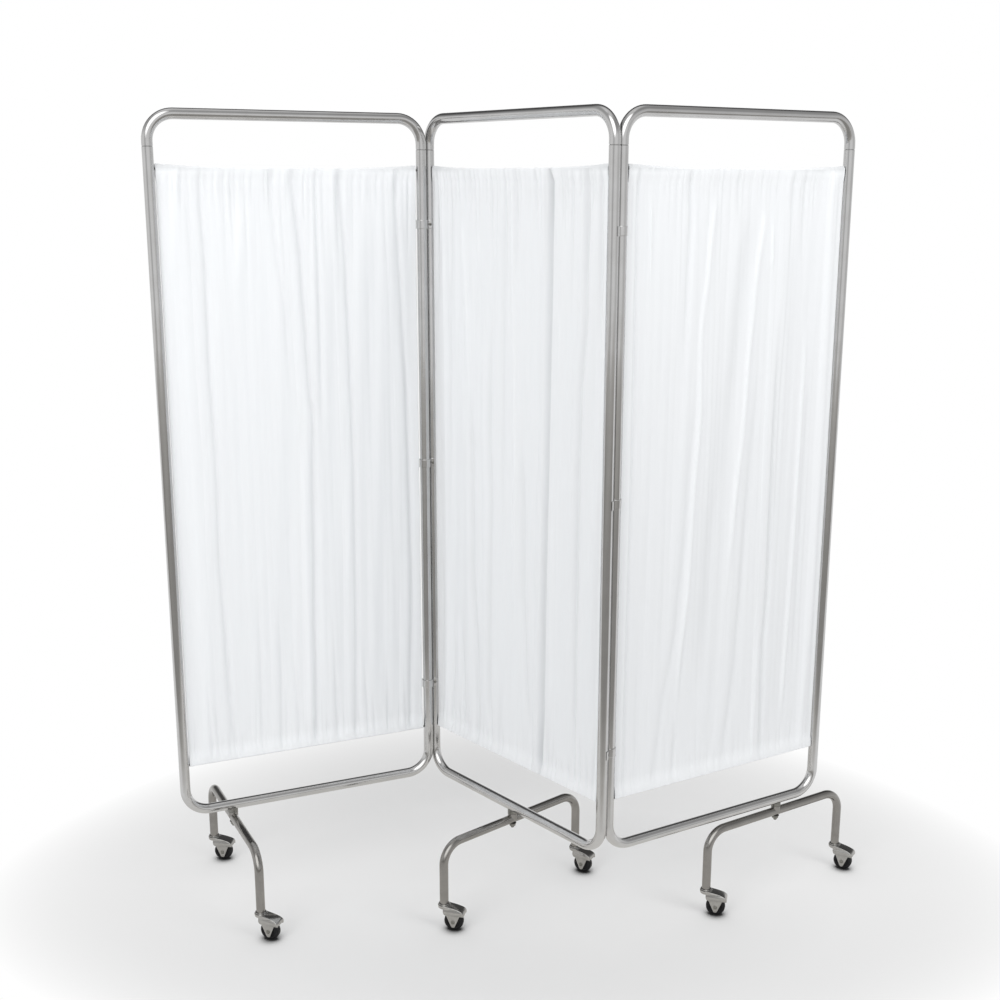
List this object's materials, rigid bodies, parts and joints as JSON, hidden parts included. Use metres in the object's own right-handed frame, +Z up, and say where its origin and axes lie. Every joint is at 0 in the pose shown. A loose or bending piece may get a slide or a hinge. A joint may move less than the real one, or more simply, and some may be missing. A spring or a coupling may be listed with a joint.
{
  "type": "ward privacy screen on wheels",
  "caption": "Folding ward privacy screen with hinged chromed tube panels, gathered white curtains on rods and swivelling bow legs on hooded casters.",
  "frame": {"origin": "middle of the half-folded screen's bounding box, at floor level", "axes": "+Z up, +X to the right as seen from the front, the viewer's side is -Y"},
  "size_m": [1.527, 0.4594, 1.698],
  "materials": {
    "tube_chrome": "polished chrome plating on steel tube",
    "caster_chrome": "bright chrome plating",
    "zinc_steel": "zinc-plated steel",
    "curtain_cloth": "thin white woven cloth",
    "wheel_rubber": "satin black rubber"
  },
  "bodies": {
    "middle_panel": {"panel2_top_bow": "tube_chrome", "panel2_lower_frame": "tube_chrome", "panel2_curtain": "curtain_cloth", "panel2_top_rod": "zinc_steel", "panel2_bottom_rod": "zinc_steel", "leg2_rail_saddle": "zinc_steel", "leg2_pivot_bolt": "zinc_steel", "hinge12_top_clip": "tube_chrome", "hinge12_top_screw": "zinc_steel", "hinge23_top_clip": "tube_chrome", "hinge23_top_screw": "zinc_steel", "hinge12_middle_clip": "tube_chrome", "hinge12_middle_screw": "zinc_steel", "hinge23_middle_clip": "tube_chrome", "hinge23_middle_screw": "zinc_steel", "hinge12_bottom_clip": "tube_chrome", "hinge12_bottom_screw": "zinc_steel", "hinge23_bottom_clip": "tube_chrome", "hinge23_bottom_screw": "zinc_steel"},
    "left_panel": {"panel1_top_bow": "tube_chrome", "panel1_lower_frame": "tube_chrome", "panel1_curtain": "curtain_cloth", "panel1_top_rod": "zinc_steel", "panel1_bottom_rod": "zinc_steel", "leg1_rail_saddle": "zinc_steel", "leg1_pivot_bolt": "zinc_steel"},
    "right_panel": {"panel3_top_bow": "tube_chrome", "panel3_lower_frame": "tube_chrome", "panel3_curtain": "curtain_cloth", "panel3_top_rod": "zinc_steel", "panel3_bottom_rod": "zinc_steel", "leg3_rail_saddle": "zinc_steel", "leg3_pivot_bolt": "zinc_steel"},
    "leg1": {"leg1_bow": "tube_chrome", "leg1_front_caster_stem": "caster_chrome", "leg1_rear_caster_stem": "caster_chrome"},
    "leg2": {"leg2_bow": "tube_chrome", "leg2_front_caster_stem": "caster_chrome", "leg2_rear_caster_stem": "caster_chrome"},
    "leg3": {"leg3_bow": "tube_chrome", "leg3_front_caster_stem": "caster_chrome", "leg3_rear_caster_stem": "caster_chrome"},
    "leg1_front_caster": {"leg1_front_caster_hood": "caster_chrome", "leg1_front_caster_axle": "zinc_steel"},
    "leg1_front_caster_wheel": {"leg1_front_caster_wheel": "wheel_rubber"},
    "leg1_rear_caster": {"leg1_rear_caster_hood": "caster_chrome", "leg1_rear_caster_axle": "zinc_steel"},
    "leg1_rear_caster_wheel": {"leg1_rear_caster_wheel": "wheel_rubber"},
    "leg2_front_caster": {"leg2_front_caster_hood": "caster_chrome", "leg2_front_caster_axle": "zinc_steel"},
    "leg2_front_caster_wheel": {"leg2_front_caster_wheel": "wheel_rubber"},
    "leg2_rear_caster": {"leg2_rear_caster_hood": "caster_chrome", "leg2_rear_caster_axle": "zinc_steel"},
    "leg2_rear_caster_wheel": {"leg2_rear_caster_wheel": "wheel_rubber"},
    "leg3_front_caster": {"leg3_front_caster_hood": "caster_chrome", "leg3_front_caster_axle": "zinc_steel"},
    "leg3_front_caster_wheel": {"leg3_front_caster_wheel": "wheel_rubber"},
    "leg3_rear_caster": {"leg3_rear_caster_hood": "caster_chrome", "leg3_rear_caster_axle": "zinc_steel"},
    "leg3_rear_caster_wheel": {"leg3_rear_caster_wheel": "wheel_rubber"}
  },
  "joints": [
    {"name": "hinge12_fold", "type": "hinge", "parent": "middle_panel", "child": "left_panel", "pos_m": [-0.2365, 0.20032, 0.9545], "axis": [0, 0, 1], "range_deg": [-75, 104]},
    {"name": "hinge23_fold", "type": "hinge", "parent": "middle_panel", "child": "right_panel", "pos_m": [0.15706, -0.20032, 0.9545], "axis": [0, 0, 1], "range_deg": [-82, 64]},
    {"name": "leg1_swivel", "type": "hinge", "parent": "left_panel", "child": "leg1", "pos_m": [-0.65964, 0.0057, 0.192], "axis": [0, 0, 1], "continuous": true},
    {"name": "leg1_front_caster_swivel", "type": "hinge", "parent": "leg1", "child": "leg1_front_caster", "pos_m": [-0.57335, -0.17362, 0.05], "axis": [0, 0, 1], "continuous": true},
    {"name": "leg1_front_wheel_spin", "type": "hinge", "parent": "leg1_front_caster", "child": "leg1_front_caster_wheel", "pos_m": [-0.55267, -0.18114, 0.02109], "axis": [0.342, 0.9397, 0], "continuous": true},
    {"name": "leg1_rear_caster_swivel", "type": "hinge", "parent": "leg1", "child": "leg1_rear_caster", "pos_m": [-0.74594, 0.18501, 0.05], "axis": [0, 0, 1], "continuous": true},
    {"name": "leg1_rear_wheel_spin", "type": "hinge", "parent": "leg1_rear_caster", "child": "leg1_rear_caster_wheel", "pos_m": [-0.72416, 0.18195, 0.02109], "axis": [0.1392, 0.9903, 0], "continuous": true},
    {"name": "leg2_swivel", "type": "hinge", "parent": "middle_panel", "child": "leg2", "pos_m": [-0.03972, 0, 0.192], "axis": [0, 0, 1], "continuous": true},
    {"name": "leg2_front_caster_swivel", "type": "hinge", "parent": "leg2", "child": "leg2_front_caster", "pos_m": [-0.1862, -0.1347, 0.05], "axis": [0, 0, 1], "continuous": true},
    {"name": "leg2_front_wheel_spin", "type": "hinge", "parent": "leg2_front_caster", "child": "leg2_front_caster_wheel", "pos_m": [-0.16477, -0.13965, 0.02109], "axis": [0.225, 0.9744, 0], "continuous": true},
    {"name": "leg2_rear_caster_swivel", "type": "hinge", "parent": "leg2", "child": "leg2_rear_caster", "pos_m": [0.10676, 0.1347, 0.05], "axis": [0, 0, 1], "continuous": true},
    {"name": "leg2_rear_wheel_spin", "type": "hinge", "parent": "leg2_rear_caster", "child": "leg2_rear_caster_wheel", "pos_m": [0.12582, 0.1237, 0.02109], "axis": [0.5, 0.866, 0], "continuous": true},
    {"name": "leg3_swivel", "type": "hinge", "parent": "right_panel", "child": "leg3", "pos_m": [0.55134, 0.04224, 0.192], "axis": [0, 0, 1], "continuous": true},
    {"name": "leg3_front_caster_swivel", "type": "hinge", "parent": "leg3", "child": "leg3_front_caster", "pos_m": [0.38559, -0.06788, 0.05], "axis": [0, 0, 1], "continuous": true},
    {"name": "leg3_front_wheel_spin", "type": "hinge", "parent": "leg3_front_caster", "child": "leg3_front_caster_wheel", "pos_m": [0.40702, -0.07283, 0.02109], "axis": [0.225, 0.9744, 0], "continuous": true},
    {"name": "leg3_rear_caster_swivel", "type": "hinge", "parent": "leg3", "child": "leg3_rear_caster", "pos_m": [0.71709, 0.15237, 0.05], "axis": [0, 0, 1], "continuous": true},
    {"name": "leg3_rear_wheel_spin", "type": "hinge", "parent": "leg3_rear_caster", "child": "leg3_rear_caster_wheel", "pos_m": [0.73614, 0.14137, 0.02109], "axis": [0.5, 0.866, 0], "continuous": true}
  ]
}
